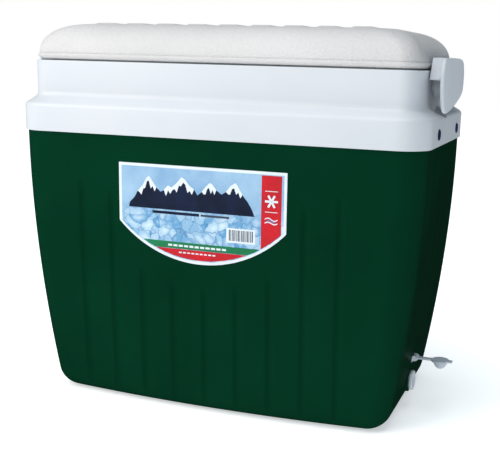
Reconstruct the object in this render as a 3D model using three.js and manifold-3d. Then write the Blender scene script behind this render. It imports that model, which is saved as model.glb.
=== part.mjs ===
// Portable picnic cooler of 28 litres: insulated tub with a collar, lift-off lid, bail handle and side drain.
// Millimetres, +Z up, +X across the width, front towards -Y, origin on the floor under the middle of the tub.
import * as THREE from 'three';
import { mergeVertices } from 'three/addons/utils/BufferGeometryUtils.js';
import Module from 'manifold-3d';

const wasm = await Module();
wasm.setup();

// ---------- driving dimensions ----------
const GAP = 0.3;                 // clearance between neighbouring pieces

const COLLAR_A = 236;            // half width over the lower band of the collar
const COLLAR_B = 124;            // half depth over the lower band
const COLLAR_R = 33;             // corner radius of the lower band
const COLLAR_FOOT = 309;         // lower edge of the band
const BAND_TOP = 339.5;          // upper edge of the lower band
const LEDGE_TOP = 350.5;         // where the sloping ledge meets the upper band
const UPPER_INSET = 15;          // how far the upper band stands back
const RIM_Z = 387;               // top of the collar

const TOP_INSET = 2.8;           // shell stands inside the band by this much
const BASE_A = 203;              // half width of the tub at the floor
const BASE_B = 109;              // half depth of the tub at the floor
const BASE_R = 25;               // corner radius at the floor
const TAPER_POWER = 1.93;        // barrel curve of the walls
const BASE_FILLET = 22;          // rounding between walls and floor
const BASE_BOW = 9;              // outward bow of the long sides at the floor
const SHELL_TOP = 316;           // the shell ends inside the collar's skirt
const SHELL_WALL = 4.2;
const LINER_OFFSET = 17.8;       // outside of the shell to outside of the liner
const LINER_WALL = 2.3;
const LINER_FLOOR = 17.3;        // underside of the liner
const LINER_KNEE = 150;          // the liner's straight walls change slope here
const FLANGE_Z = 384;            // underside of the liner's flange

const FLUTE_PITCH = 37.8;
const FLUTE_HALF = 5.8;
const FLUTE_DEPTH = 2.5;
const FLUTE_TOPS = [157.5, 163, 176.5, 257, 267];   // from the middle flute outwards
const FLUTE_FADE = 30;

const LABEL_X = -4.7;            // middle of the label
const LABEL_HALF = 98.2;
const LABEL_TOP = 280;
const LABEL_SIDE_FOOT = 215.5;
const LABEL_FOOT = 173.7;
const LABEL_THICK = 0.5;

const LID_A = 220.5;             // half width of the lid's lip
const LID_B = 108.5;
const LID_R = 19;
const LID_FOOT = 388.6;
const LIP_TOP = 394.4;
const DOME_FOOT = 395.5;
const DOME_RUN = 44;             // how far the dome's shoulder reaches inwards
const DOME_RISE = 33;
const DOME_POWER = 2.2;
const LID_WALL = 3;
const RIB_WIDTH = 25;
const RIB_HALF_LENGTH = 66;
const RIB_HEIGHT = 1.5;
const PAN_A = 215.8;             // half width of the lid pan's plate
const PAN_PLUG_INSET = 6.3;      // plug part stands inside the plate
const PAN_FOOT = 375.5;

const PIVOT_Y = -20;
const PIVOT_Z = 372;
const PIN_R = 9;
const PIN_HEAD_X = 232.5;
const HUB_SEAT_R = 34.6;          // round seat that the arm's root turns in
const ARM_IN = 221.6;            // inner face of the handle's arms
const ARM_SIDE = 233;            // outer face of the arms behind the plates
const ARM_PLATE = 236.4;         // inner face of the outer plates
const ARM_OUT = 240;
const ARM_FOOT = 377;
const ARM_TOP = 400.5;
const ARM_ROOT = -30;
const GRIP_IN = 114;
const GRIP_OUT = 134;
const BAIL_OUT_R = 40;           // corner radii of the bail, outside and inside
const BAIL_IN_R = 9;

const PLUG_HALF_SPAN = 58;       // collar plugs stand this far either side of the middle
const PLUG_Z = 321.8;

const DRAIN_Y = -14;
const DRAIN_Z = 34.5;
const DRAIN_PAD_X = 211.3;
const DRAIN_TUBE_R = 6.6;        // threaded part inside the tub
const DRAIN_THROAT_R = 8.6;      // wider part through the shell
const DRAIN_THROAT_X = 200;
const DRAIN_BORE_R = 5;
const SEAT_R = 8;                // bowl that the plug's dome closes
const SEAT_DEPTH = 9;
const STRAP_REACH = 28;          // strap pivot above the drain's axis
const STRAP_X = 217.4;

// ---------- meshes and booleans ----------
function toManifold(geometry) {
  const g = geometry.index ? geometry.toNonIndexed() : geometry.clone();
  g.deleteAttribute('normal');
  g.deleteAttribute('uv');
  const merged = mergeVertices(g, 1e-4);
  const mesh = new wasm.Mesh({
    numProp: 3,
    vertProperties: new Float32Array(merged.attributes.position.array),
    triVerts: new Uint32Array(merged.index.array),
  });
  return new wasm.Manifold(mesh);
}

function toGeometry(solid) {
  const mesh = solid.getMesh();
  const g = new THREE.BufferGeometry();
  g.setAttribute('position', new THREE.BufferAttribute(new Float32Array(mesh.vertProperties), 3));
  g.setIndex(new THREE.BufferAttribute(new Uint32Array(mesh.triVerts), 1));
  g.computeVertexNormals();
  return g;
}

function signedVolume(points, faces) {
  let sum = 0;
  for (const [i, j, k] of faces) {
    sum += new THREE.Vector3().crossVectors(points[i], points[j]).dot(points[k]);
  }
  return sum / 6;
}

// Closed mesh through a list of rings with equal counts; capped at both ends, or joined end to end.
function loft(rings, joined = false) {
  const n = rings[0].length;
  const points = rings.flat().map((p) => new THREE.Vector3(...p));
  const faces = [];
  const spans = joined ? rings.length : rings.length - 1;
  for (let r = 0; r < spans; r += 1) {
    const low = r * n;
    const high = ((r + 1) % rings.length) * n;
    for (let i = 0; i < n; i += 1) {
      const j = (i + 1) % n;
      faces.push([low + i, low + j, high + j], [low + i, high + j, high + i]);
    }
  }
  if (!joined) {
    for (const [start, flip] of [[0, true], [(rings.length - 1) * n, false]]) {
      const centre = new THREE.Vector3();
      for (let i = 0; i < n; i += 1) {
        centre.addScaledVector(points[start + i], 1 / n);
      }
      const c = points.push(centre) - 1;
      for (let i = 0; i < n; i += 1) {
        const j = (i + 1) % n;
        faces.push(flip ? [start + j, start + i, c] : [start + i, start + j, c]);
      }
    }
  }
  if (signedVolume(points, faces) < 0) {
    faces.forEach((f) => f.reverse());
  }
  const g = new THREE.BufferGeometry();
  const flat = points.flatMap((p) => [p.x, p.y, p.z]);
  g.setAttribute('position', new THREE.BufferAttribute(new Float32Array(flat), 3));
  g.setIndex(faces.flat());
  return g;
}

// Cylinder or cone along +X, from x0 to x1.
function barX(r0, r1, x0, x1, y, z, segments = 40) {
  const g = new THREE.CylinderGeometry(r1, r0, x1 - x0, segments);
  g.rotateZ(-Math.PI / 2);
  g.translate((x0 + x1) / 2, y, z);
  return toManifold(g);
}

// Cylinder along +Y, from y0 to y1.
function barY(r, y0, y1, x, z, segments = 24) {
  const g = new THREE.CylinderGeometry(r, r, y1 - y0, segments);
  g.translate(x, (y0 + y1) / 2, z);
  return toManifold(g);
}

// Cylinder or cone along +Z, from z0 to z1.
function barZ(r0, r1, z0, z1, x, y, segments = 40) {
  const g = new THREE.CylinderGeometry(r1, r0, z1 - z0, segments);
  g.rotateX(Math.PI / 2);
  g.translate(x, y, (z0 + z1) / 2);
  return toManifold(g);
}

// Dome of radius r and the given depth, turned about X, pointing inwards from its face at x.
function domeX(r, depth, x, y, z) {
  const outline = [];
  for (let i = 0; i <= 10; i += 1) {
    const t = (i / 10) * (Math.PI / 2);
    outline.push(new THREE.Vector2(r * Math.sin(t), -depth * Math.cos(t)));
  }
  outline.push(new THREE.Vector2(r, 2), new THREE.Vector2(0, 2));
  const g = new THREE.LatheGeometry(outline, 40);
  g.rotateZ(-Math.PI / 2);
  g.translate(x, y, z);
  return toManifold(g);
}

function box(x0, x1, y0, y1, z0, z1) {
  const g = new THREE.BoxGeometry(x1 - x0, y1 - y0, z1 - z0);
  g.translate((x0 + x1) / 2, (y0 + y1) / 2, (z0 + z1) / 2);
  return toManifold(g);
}

// Prism from an outline in the YZ plane, from x0 to x1.
function prismX(outline, x0, x1) {
  const shape = new THREE.Shape(outline.map(([y, z]) => new THREE.Vector2(y, z)));
  const g = new THREE.ExtrudeGeometry(shape, { depth: x1 - x0, bevelEnabled: false });
  g.applyMatrix4(new THREE.Matrix4().set(0, 0, 1, x0, 1, 0, 0, 0, 0, 1, 0, 0, 0, 0, 0, 1));
  return toManifold(g);
}

// Prism from an outline in the XY plane, from z0 to z1.
function prismZ(outline, z0, z1) {
  const shape = new THREE.Shape(outline.map(([x, y]) => new THREE.Vector2(x, y)));
  const g = new THREE.ExtrudeGeometry(shape, { depth: z1 - z0, bevelEnabled: false });
  g.translate(0, 0, z0);
  return toManifold(g);
}

// Prism from an outline in the XZ plane, from y0 to y1.
function prismY(outline, y0, y1) {
  const shape = new THREE.Shape(outline.map(([x, z]) => new THREE.Vector2(x, z)));
  const g = new THREE.ExtrudeGeometry(shape, { depth: y1 - y0, bevelEnabled: false });
  g.applyMatrix4(new THREE.Matrix4().set(1, 0, 0, 0, 0, 0, -1, y1, 0, 1, 0, 0, 0, 0, 0, 1));
  return toManifold(g);
}

function mirrorX(solid) {
  return solid.mirror([1, 0, 0]);
}

// Quarter circle of points round a centre, from the given angle on.
function roundedCorner(cx, cy, r, from, steps = 10) {
  const points = [];
  for (let i = 0; i <= steps; i += 1) {
    const t = from + (i / steps) * (Math.PI / 2);
    points.push([cx + r * Math.cos(t), cy + r * Math.sin(t)]);
  }
  return points;
}

// Closed patch from columns whose first half runs up the inside and second half down the outside.
function stripSolid(strips, rows) {
  const n = 2 * (rows + 1);
  const points = strips.flat().map((p) => new THREE.Vector3(...p));
  const faces = [];
  for (let s = 0; s < strips.length - 1; s += 1) {
    for (let i = 0; i < n; i += 1) {
      const j = (i + 1) % n;
      faces.push([s * n + i, s * n + j, (s + 1) * n + j], [s * n + i, (s + 1) * n + j, (s + 1) * n + i]);
    }
  }
  for (const [start, flip] of [[0, true], [(strips.length - 1) * n, false]]) {
    for (let j = 0; j < rows; j += 1) {
      const quad = [start + j, start + j + 1, start + n - 2 - j, start + n - 1 - j];
      const order = flip ? [...quad].reverse() : quad;
      faces.push([order[0], order[1], order[2]], [order[0], order[2], order[3]]);
    }
  }
  if (signedVolume(points, faces) < 0) {
    faces.forEach((f) => f.reverse());
  }
  const g = new THREE.BufferGeometry();
  const flat = points.flatMap((p) => [p.x, p.y, p.z]);
  g.setAttribute('position', new THREE.BufferAttribute(new Float32Array(flat), 3));
  g.setIndex(faces.flat());
  return g;
}

// ---------- plan sections ----------
const smooth = (t) => {
  const c = Math.min(Math.max(t, 0), 1);
  return c * c * (3 - 2 * c);
};

// Points across a long side: five on every flute, so that all sections match point for point.
function sideStations() {
  const xs = [];
  for (let i = -4; i <= 4; i += 1) {
    for (const k of [-1, -0.5, 0, 0.5, 1]) {
      xs.push(i * FLUTE_PITCH + k * FLUTE_HALF);
    }
  }
  return xs;
}

// Rounded rectangle of half sizes a and b; front and back give y for the long sides.
function section(a, b, r, z, front, fluted) {
  const ring = [];
  const corner = (cx, cy, from) => {
    for (let i = 0; i <= 6; i += 1) {
      const t = from + (i / 6) * (Math.PI / 2);
      ring.push([cx + r * Math.cos(t), cy + r * Math.sin(t), z]);
    }
  };
  const inner = a - r;
  corner(-inner, -(b - r), Math.PI);
  const xs = fluted ? sideStations() : [-0.8, -0.55, -0.25, 0, 0.25, 0.55, 0.8].map((k) => k * inner);
  for (const x of xs) {
    ring.push([x, -front(x), z]);
  }
  corner(inner, -(b - r), -Math.PI / 2);
  ring.push([a, 0, z]);
  corner(inner, b - r, 0);
  for (const k of [0.8, 0.55, 0.25, 0, -0.25, -0.55, -0.8]) {
    ring.push([k * inner, front(k * inner, true), z]);
  }
  corner(-inner, b - r, Math.PI / 2);
  ring.push([-a, 0, z]);
  return ring;
}

const plainSection = (a, b, r, z) => section(a, b, r, z, () => b, false);

// Half sizes of the tub's outside at height z.
function tubSize(z) {
  const h = Math.min(z / COLLAR_FOOT, 1);
  const g = 1 - (1 - h) ** TAPER_POWER;
  return {
    a: BASE_A + (COLLAR_A - TOP_INSET - BASE_A) * g,
    b: BASE_B + (COLLAR_B - TOP_INSET - BASE_B) * g,
    r: BASE_R + (COLLAR_R - TOP_INSET - BASE_R) * g,
    bow: BASE_BOW * (1 - h),
  };
}

function fluteDepth(x, z) {
  const i = Math.round(x / FLUTE_PITCH);
  if (Math.abs(i) > 4) {
    return 0;
  }
  const across = Math.abs(x - i * FLUTE_PITCH) / FLUTE_HALF;
  if (across >= 1) {
    return 0;
  }
  const profile = 0.5 + 0.5 * Math.cos(Math.PI * across);
  const top = smooth((FLUTE_TOPS[Math.abs(i)] - z) / FLUTE_FADE);
  const foot = smooth((z - 5) / 14);
  return FLUTE_DEPTH * profile * top * foot;
}

// Section of a surface inset from the tub's outside; fillet is its own rounding above the level foot.
function tubRing(z, inset, foot, fillet, fluted) {
  const size = tubSize(z);
  const t = Math.min(Math.max((foot + fillet - z) / fillet, 0), 1);
  const draw = fillet * (1 - Math.sqrt(1 - t * t));
  const a = size.a - inset - draw;
  const b = size.b - inset - draw;
  const r = Math.max(size.r - inset - draw, 8);
  const inner = a - r;
  const front = (x, back) => {
    const bow = size.bow * Math.max(0, 1 - (x / inner) ** 2);
    return b + bow - (fluted && !back ? fluteDepth(x, z) : 0);
  };
  return section(a, b, r, z, front, fluted);
}

// Solid bounded by a surface inset from the tub's outside, from foot up to top.
function tubSolid(inset, foot, fillet, levels, fluted = false) {
  const zs = [];
  for (let i = 0; i <= 5; i += 1) {
    zs.push(foot + fillet * (1 - Math.cos((i / 5) * (Math.PI / 2))));
  }
  zs.push(...levels.filter((z) => z > foot + fillet + 2));
  return toManifold(loft(zs.map((z) => tubRing(z, inset, foot, fillet, fluted))));
}

// Half sizes of the liner's straight walls before its inset, in two slopes.
function linerSize(z) {
  const [low, high] = z < LINER_KNEE ? [LINER_FLOOR, LINER_KNEE] : [LINER_KNEE, COLLAR_FOOT];
  const t = Math.min((z - low) / (high - low), 1);
  const foot = tubSize(low);
  const head = tubSize(high);
  return {
    a: foot.a + (head.a - foot.a) * t,
    b: foot.b + (head.b - foot.b) * t,
    r: foot.r + (head.r - foot.r) * t,
  };
}

// Solid bounded by the liner's walls at an inset, from foot up to top.
function linerSolid(inset, foot, fillet, top) {
  const rings = [];
  for (let i = 0; i <= 3; i += 1) {
    const t = (i / 3) * (Math.PI / 2);
    const z = foot + fillet * (1 - Math.cos(t));
    const size = linerSize(z);
    const draw = inset + fillet * (1 - Math.sin(t));
    rings.push(plainSection(size.a - draw, size.b - draw, Math.max(size.r - draw, 5), z));
  }
  for (const z of [LINER_KNEE, COLLAR_FOOT, top]) {
    const size = linerSize(z);
    rings.push(plainSection(size.a - inset, size.b - inset, size.r - inset, z));
  }
  return toManifold(loft(rings));
}

const parts = [];
function add(name, body, solidOrGeometry, colour, roughness, metalness = 0) {
  const geometry = solidOrGeometry.isBufferGeometry ? solidOrGeometry : toGeometry(solidOrGeometry);
  if (!geometry.attributes.normal) {
    geometry.computeVertexNormals();
  }
  const material = new THREE.MeshStandardMaterial({ color: colour, roughness, metalness });
  const mesh = new THREE.Mesh(geometry, material);
  mesh.name = name;
  parts.push([body, mesh]);
}

// ---------- tub: shell, foam, liner ----------
const BODY_LEVELS = [37, 63, 95, 126, 141, 151, 163, 175, 210, 233, 248, 263, 289, 309];
const PLAIN_LEVELS = [47, 95, 147, 200, 252, 309];
const drainHole = barX(DRAIN_TUBE_R + GAP, DRAIN_TUBE_R + GAP, 160, 230, DRAIN_Y, DRAIN_Z)
  .add(barX(DRAIN_THROAT_R + GAP, DRAIN_THROAT_R + GAP, DRAIN_THROAT_X - GAP, 230, DRAIN_Y, DRAIN_Z));

const shellOuter = tubSolid(0, 0, BASE_FILLET, [...BODY_LEVELS, SHELL_TOP], true);
const shellCavity = tubSolid(SHELL_WALL, SHELL_WALL, 17, [...PLAIN_LEVELS, SHELL_TOP + 1]);
const drainPad = barX(14, 13.3, 200, DRAIN_PAD_X, DRAIN_Y, DRAIN_Z);
const shell = shellOuter.add(drainPad).subtract(shellCavity).subtract(drainHole);
add('outer_shell', 'chest', shell, 0x0a3a26, 0.42);

const foamOuter = tubSolid(SHELL_WALL + GAP, SHELL_WALL + GAP, 16.8, [...PLAIN_LEVELS, SHELL_TOP]);
const foamInner = linerSolid(LINER_OFFSET - GAP, LINER_FLOOR - GAP, 6, SHELL_TOP + 1);
add('body_foam', 'chest', foamOuter.subtract(foamInner).subtract(drainHole), 0xe9e2c8, 0.95);

const linerOuter = linerSolid(LINER_OFFSET, LINER_FLOOR, 6, FLANGE_Z + 2.5);
const linerCavity = linerSolid(LINER_OFFSET + LINER_WALL, LINER_FLOOR + LINER_WALL, 4, FLANGE_Z + 4);
const flange = toManifold(loft([FLANGE_Z, FLANGE_Z + 2.5].map((z) => (
  plainSection(COLLAR_A - 17.3, COLLAR_B - 17.3, COLLAR_R - 17.3, z)
))));
const linerPad = barX(10.6, 10.6, 182, 200, DRAIN_Y, DRAIN_Z).intersect(linerOuter);
const liner = linerOuter.add(flange).subtract(linerCavity).add(linerPad).subtract(drainHole);
add('inner_liner', 'chest', liner, 0xeef0f0, 0.35);

// ---------- collar ----------
const COLLAR_PROFILE = [
  [0, COLLAR_FOOT], [0, BAND_TOP - 1.5], [1.2, BAND_TOP + 0.6], [12.4, 347], [UPPER_INSET, LEDGE_TOP],
  [UPPER_INSET, RIM_Z - 1], [UPPER_INSET + 0.9, RIM_Z], [17, RIM_Z], [17, FLANGE_Z - GAP],
  [20.3, FLANGE_Z - GAP], [20.3, SHELL_TOP + GAP], [2.5, SHELL_TOP + GAP], [2.5, COLLAR_FOOT],
];
const collarRing = ([o, z]) => plainSection(COLLAR_A - o, COLLAR_B - o, COLLAR_R - o, z);
const collarBody = toManifold(loft(COLLAR_PROFILE.map(collarRing), true));
const UPPER_FACE = COLLAR_A - UPPER_INSET;
const SEAT_FACE = UPPER_FACE - 0.4;
let sideCuts = barX(HUB_SEAT_R, HUB_SEAT_R, SEAT_FACE, 245, PIVOT_Y, PIVOT_Z, 72);
sideCuts = sideCuts.add(barX(5.4, 5.4, 216.8, 222, PIVOT_Y, PIVOT_Z));
for (const side of [-1, 1]) {
  sideCuts = sideCuts.add(barX(3.3, 3.3, 226, 245, side * PLUG_HALF_SPAN, PLUG_Z, 24));
}
const collar = collarBody.subtract(sideCuts).subtract(mirrorX(sideCuts));
add('collar', 'chest', collar, 0xe8eaee, 0.45);

// ---------- pivot pins and collar plugs ----------
const pin = barX(5.1, 5.1, 217.1, 221.2, PIVOT_Y, PIVOT_Z)
  .add(barX(PIN_R, PIN_R, SEAT_FACE + GAP, PIN_HEAD_X, PIVOT_Y, PIVOT_Z))
  .add(barX(PIN_R, PIN_R - 0.8, PIN_HEAD_X, PIN_HEAD_X + 0.8, PIVOT_Y, PIVOT_Z));
add('pivot_pin_right', 'chest', pin, 0xdfe2e6, 0.5);
add('pivot_pin_left', 'chest', mirrorX(pin), 0xdfe2e6, 0.5);

for (const [where, side] of [['front', -1], ['back', 1]]) {
  const y = side * PLUG_HALF_SPAN;
  const plug = barX(3, 3, 226.3, COLLAR_A + 0.5, y, PLUG_Z, 24)
    .add(barX(5.8, 5.8, COLLAR_A + GAP, COLLAR_A + 0.9, y, PLUG_Z, 32))
    .add(barX(5.8, 4.6, COLLAR_A + 0.9, COLLAR_A + 1.6, y, PLUG_Z, 32));
  add(`collar_plug_right_${where}`, 'chest', plug, 0x1b2b52, 0.4);
  add(`collar_plug_left_${where}`, 'chest', mirrorX(plug), 0x1b2b52, 0.4);
}

// ---------- label on the front ----------
function frontFace(x, z) {
  const size = tubSize(z);
  return size.b + size.bow * (1 - (x / (size.a - size.r)) ** 2);
}

function labelGeometry() {
  const sag = LABEL_SIDE_FOOT - LABEL_FOOT;
  const radius = (LABEL_HALF ** 2 + sag ** 2) / (2 * sag);
  const foot = (x) => LABEL_FOOT + radius - Math.sqrt(radius ** 2 - (x - LABEL_X) ** 2);
  const COLUMNS = 28;
  const ROWS = 8;
  const strips = [];
  for (let i = 0; i <= COLUMNS; i += 1) {
    const x = LABEL_X + LABEL_HALF * (-1 + (2 * i) / COLUMNS);
    const ring = [];
    for (const [out, down] of [[0.15, false], [0.15 + LABEL_THICK, true]]) {
      for (let j = 0; j <= ROWS; j += 1) {
        const k = down ? ROWS - j : j;
        const z = foot(x) + ((LABEL_TOP - foot(x)) * k) / ROWS;
        ring.push([x, -(frontFace(x, z) + out), z]);
      }
    }
    strips.push(ring);
  }
  return stripSolid(strips, ROWS);
}

add('front_label', 'chest', toManifold(labelGeometry()), 0x9fc6e6, 0.4);

// ---------- drain: drawn on the plane y = 0 and moved to its place at the end ----------
const gasket = barX(11, 11, DRAIN_PAD_X + GAP, DRAIN_PAD_X + 1.5, 0, DRAIN_Z)
  .subtract(barX(DRAIN_THROAT_R + GAP, DRAIN_THROAT_R + GAP, 200, 230, 0, DRAIN_Z));
add('drain_gasket', 'chest', gasket.translate([0, DRAIN_Y, 0]), 0x2a2c2e, 0.8);

const FLANGE_X = DRAIN_PAD_X + 1.8;
const FACE_X = FLANGE_X + 3;
const spout = barX(DRAIN_TUBE_R, DRAIN_TUBE_R, 174.5, FLANGE_X + 1, 0, DRAIN_Z)
  .add(barX(DRAIN_THROAT_R, DRAIN_THROAT_R, DRAIN_THROAT_X, FLANGE_X + 1, 0, DRAIN_Z))
  .add(barX(11.4, 11.4, FLANGE_X, FACE_X - 0.8, 0, DRAIN_Z))
  .add(barX(11.4, 10.6, FACE_X - 0.8, FACE_X, 0, DRAIN_Z))
  .subtract(barX(DRAIN_BORE_R, DRAIN_BORE_R, 170, 212, 0, DRAIN_Z))
  .subtract(domeX(SEAT_R, SEAT_DEPTH, FACE_X, 0, DRAIN_Z));
add('drain_spout', 'chest', spout.translate([0, DRAIN_Y, 0]), 0xd9dcdd, 0.5);

const nut = barX(9.2, 9.2, 176.2, 181.7, 0, DRAIN_Z, 6)
  .subtract(barX(DRAIN_TUBE_R + GAP, DRAIN_TUBE_R + GAP, 170, 190, 0, DRAIN_Z));
add('drain_nut', 'chest', nut.translate([0, DRAIN_Y, 0]), 0xd9dcdd, 0.5);

// Lugs that carry the strap's pivot, on a small foot bedded on the shell.
const strapZ = DRAIN_Z + STRAP_REACH;
const lugOutline = [[211, strapZ - 3], [STRAP_X, strapZ - 3], [STRAP_X + 2.6, strapZ - 1.4],
  [STRAP_X + 2.6, strapZ + 1.4], [STRAP_X, strapZ + 3], [211, strapZ + 3]];
const shellEnvelope = tubSolid(-GAP, 0, BASE_FILLET, [...PLAIN_LEVELS, SHELL_TOP]);
const anchor = box(210, STRAP_X - 3.4, -6, 6, strapZ - 4.5, strapZ + 4.5)
  .add(prismY(lugOutline, -5.6, -3.6))
  .add(prismY(lugOutline, 3.6, 5.6))
  .add(barY(1.5, -4, 4, STRAP_X, strapZ))
  .translate([0, DRAIN_Y, 0])
  .subtract(shellEnvelope);
add('strap_anchor', 'chest', anchor, 0xd9dcdd, 0.5);

// Plug on its strap, drawn in the open position: strap level, plug hanging down from the cap.
const capX = STRAP_X + STRAP_REACH;
const CAP_LOW = strapZ - 0.9;
const DOME_R = SEAT_R - 0.4;
const dome = domeX(DOME_R, SEAT_DEPTH - 0.4, 0, 0, 0).rotate([0, -90, 0]).translate([capX, 0, CAP_LOW]);
const plugSolid = barZ(10.3, 9.9, CAP_LOW, CAP_LOW + 2, capX, 0)
  .add(dome.subtract(box(capX - 20, capX + 20, -20, 20, CAP_LOW + 1, CAP_LOW + 9)))
  .add(box(STRAP_X, capX, -3, 3, CAP_LOW, CAP_LOW + 1.8))
  .add(barY(3, -3, 3, STRAP_X, strapZ))
  .add(box(capX, capX + 13.5, -3.6, 3.6, CAP_LOW, CAP_LOW + 1.6))
  .subtract(barY(1.8, -4, 4, STRAP_X, strapZ));
add('drain_plug', 'plug', plugSolid.translate([0, DRAIN_Y, 0]), 0xb9bfc2, 0.55);

// ---------- handle ----------
const bailOutline = [
  [ARM_SIDE, ARM_ROOT],
  ...roundedCorner(ARM_SIDE - BAIL_OUT_R, GRIP_OUT - BAIL_OUT_R, BAIL_OUT_R, 0),
  ...roundedCorner(BAIL_OUT_R - ARM_SIDE, GRIP_OUT - BAIL_OUT_R, BAIL_OUT_R, Math.PI / 2),
  [-ARM_SIDE, ARM_ROOT],
  [-ARM_IN, ARM_ROOT],
  ...roundedCorner(BAIL_IN_R - ARM_IN, GRIP_IN - BAIL_IN_R, BAIL_IN_R, Math.PI / 2, 5).reverse(),
  ...roundedCorner(ARM_IN - BAIL_IN_R, GRIP_IN - BAIL_IN_R, BAIL_IN_R, 0, 5).reverse(),
  [ARM_IN, ARM_ROOT],
];
const PLATE_OUTLINE = [
  [-54, ARM_TOP], [-62, 396], [-69, 386], [-71, 377], [-69, 366], [-64, 355], [-57, 347.5], [-48, 343.5],
  [-34, 342.8], [-10, 345.2], [14, 349.2], [34, 353.2], [54, 357.5], [66, 363.5], [70, 373], [69, 386],
  [64, 395], [52, ARM_TOP],
];
const ROOT_OUTLINE = [[-38.5, ARM_TOP], [-53, ARM_FOOT], [62, ARM_FOOT], [58, ARM_TOP]];
const pivotBore = barX(PIN_R + GAP, PIN_R + GAP, 215, PIN_HEAD_X + 1.2, PIVOT_Y, PIVOT_Z);
const armEnd = prismX(PLATE_OUTLINE, ARM_PLATE, ARM_OUT)
  .add(prismX(ROOT_OUTLINE, ARM_IN, ARM_PLATE + 0.5))
  .add(barX(13.5, 13.5, 223.5, ARM_PLATE + 0.5, PIVOT_Y, PIVOT_Z));
const handle = prismZ(bailOutline, ARM_FOOT, ARM_TOP)
  .add(armEnd)
  .add(mirrorX(armEnd))
  .subtract(pivotBore)
  .subtract(mirrorX(pivotBore));
add('handle_bail', 'handle', handle, 0xe3e6ea, 0.45);

// ---------- lid ----------
function lidRings(inset, foot, lip) {
  const rings = lip.map(([o, z]) => plainSection(LID_A - o - inset, LID_B - o - inset, LID_R - inset - o * 0.5, z));
  const STEPS = 9;
  for (let i = 0; i <= STEPS; i += 1) {
    const u = 1 - (1 - i / STEPS) ** 1.7;
    const o = 1.5 + (DOME_RUN - 1.5) * (1 - (1 - u ** DOME_POWER) ** (1 / DOME_POWER));
    const z = DOME_FOOT - foot + (DOME_RISE) * u;
    rings.push(plainSection(LID_A - o - inset, LID_B - o - inset, LID_R - inset + o * 0.25, z));
  }
  return rings;
}
const lidOuter = toManifold(loft(lidRings(0, 0, [[0.8, LID_FOOT], [0, LID_FOOT + 0.8], [0, LIP_TOP - 0.7],
  [0.8, LIP_TOP]])));
const lidInner = toManifold(loft(lidRings(LID_WALL, LID_WALL, [[0, LID_FOOT - 1]])));
let cover = lidOuter;
for (let i = -4; i <= 4; i += 1) {
  const x = i * FLUTE_PITCH;
  const half = RIB_WIDTH / 2;
  const length = RIB_HALF_LENGTH;
  const corners = [[1, 1, 0], [-1, 1, 1], [-1, -1, 2], [1, -1, 3]];
  const outline = corners.flatMap(([sx, sy, q]) => (
    roundedCorner(x + sx * (half - 5), sy * (length - 5), 5, (q * Math.PI) / 2, 4)
  ));
  cover = cover.add(prismZ(outline, DOME_FOOT + DOME_RISE - 2.4, DOME_FOOT + DOME_RISE + RIB_HEIGHT));
}
add('lid_cover', 'lid', cover.subtract(lidInner), 0xf1f2f3, 0.6);

const PAN_B = PAN_A - (LID_A - LID_B);
const panSize = (o, z) => plainSection(PAN_A - o, PAN_B - o, 24 - Math.min(o, 9), z);
const panPlate = toManifold(loft([panSize(0, LID_FOOT), panSize(0, LID_FOOT + 2.5)]));
const panPlug = toManifold(loft([
  panSize(PAN_PLUG_INSET + 3, PAN_FOOT), panSize(PAN_PLUG_INSET + 0.8, PAN_FOOT + 2.5),
  panSize(PAN_PLUG_INSET, LID_FOOT + 2.5),
]));
const panCavity = toManifold(loft([
  panSize(PAN_PLUG_INSET + 4, PAN_FOOT + 2.5), panSize(PAN_PLUG_INSET + 2.5, LID_FOOT + 4),
]));
add('lid_pan', 'lid', panPlate.add(panPlug).subtract(panCavity), 0xeef0f0, 0.4);

const foamFoot = toManifold(loft([
  panSize(PAN_PLUG_INSET + 4 + GAP, PAN_FOOT + 2.5 + GAP), panSize(PAN_PLUG_INSET + 2.5 + GAP, LID_FOOT + 3.5),
]));
const foamBlock = toManifold(loft(lidRings(LID_WALL + GAP, LID_WALL + GAP, [[1.5, LID_FOOT + 2.5 + GAP]])));
add('lid_foam', 'lid', foamBlock.add(foamFoot), 0xe9e2c8, 0.95);

const sealRing = (o, z) => plainSection(COLLAR_A - o, COLLAR_B - o, COLLAR_R - o, z);
const sealOuter = toManifold(loft([sealRing(20.3, 386.8), sealRing(20.3, LID_FOOT - GAP)]));
const sealInner = toManifold(loft([sealRing(22.8, 385), sealRing(22.8, LID_FOOT + 1)]));
add('lid_seal', 'lid', sealOuter.subtract(sealInner), 0x3a3d40, 0.85);

// ---------- assembly ----------
const cooler = new THREE.Group();
cooler.name = 'picnic_cooler';
const groups = {};
for (const body of ['chest', 'handle', 'lid', 'plug']) {
  groups[body] = new THREE.Group();
  groups[body].name = `${body}_group`;
  cooler.add(groups[body]);
}
for (const [body, mesh] of parts) {
  groups[body].add(mesh);
}
export default cooler;
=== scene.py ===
"""Portable picnic cooler, 28 litres: the looks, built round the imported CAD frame.

Metres, +Z up, front towards -Y. The helpers take millimetres and scale by MM."""

import math

import bmesh
import bpy
import numpy as np
from mathutils import Matrix, Vector


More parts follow.
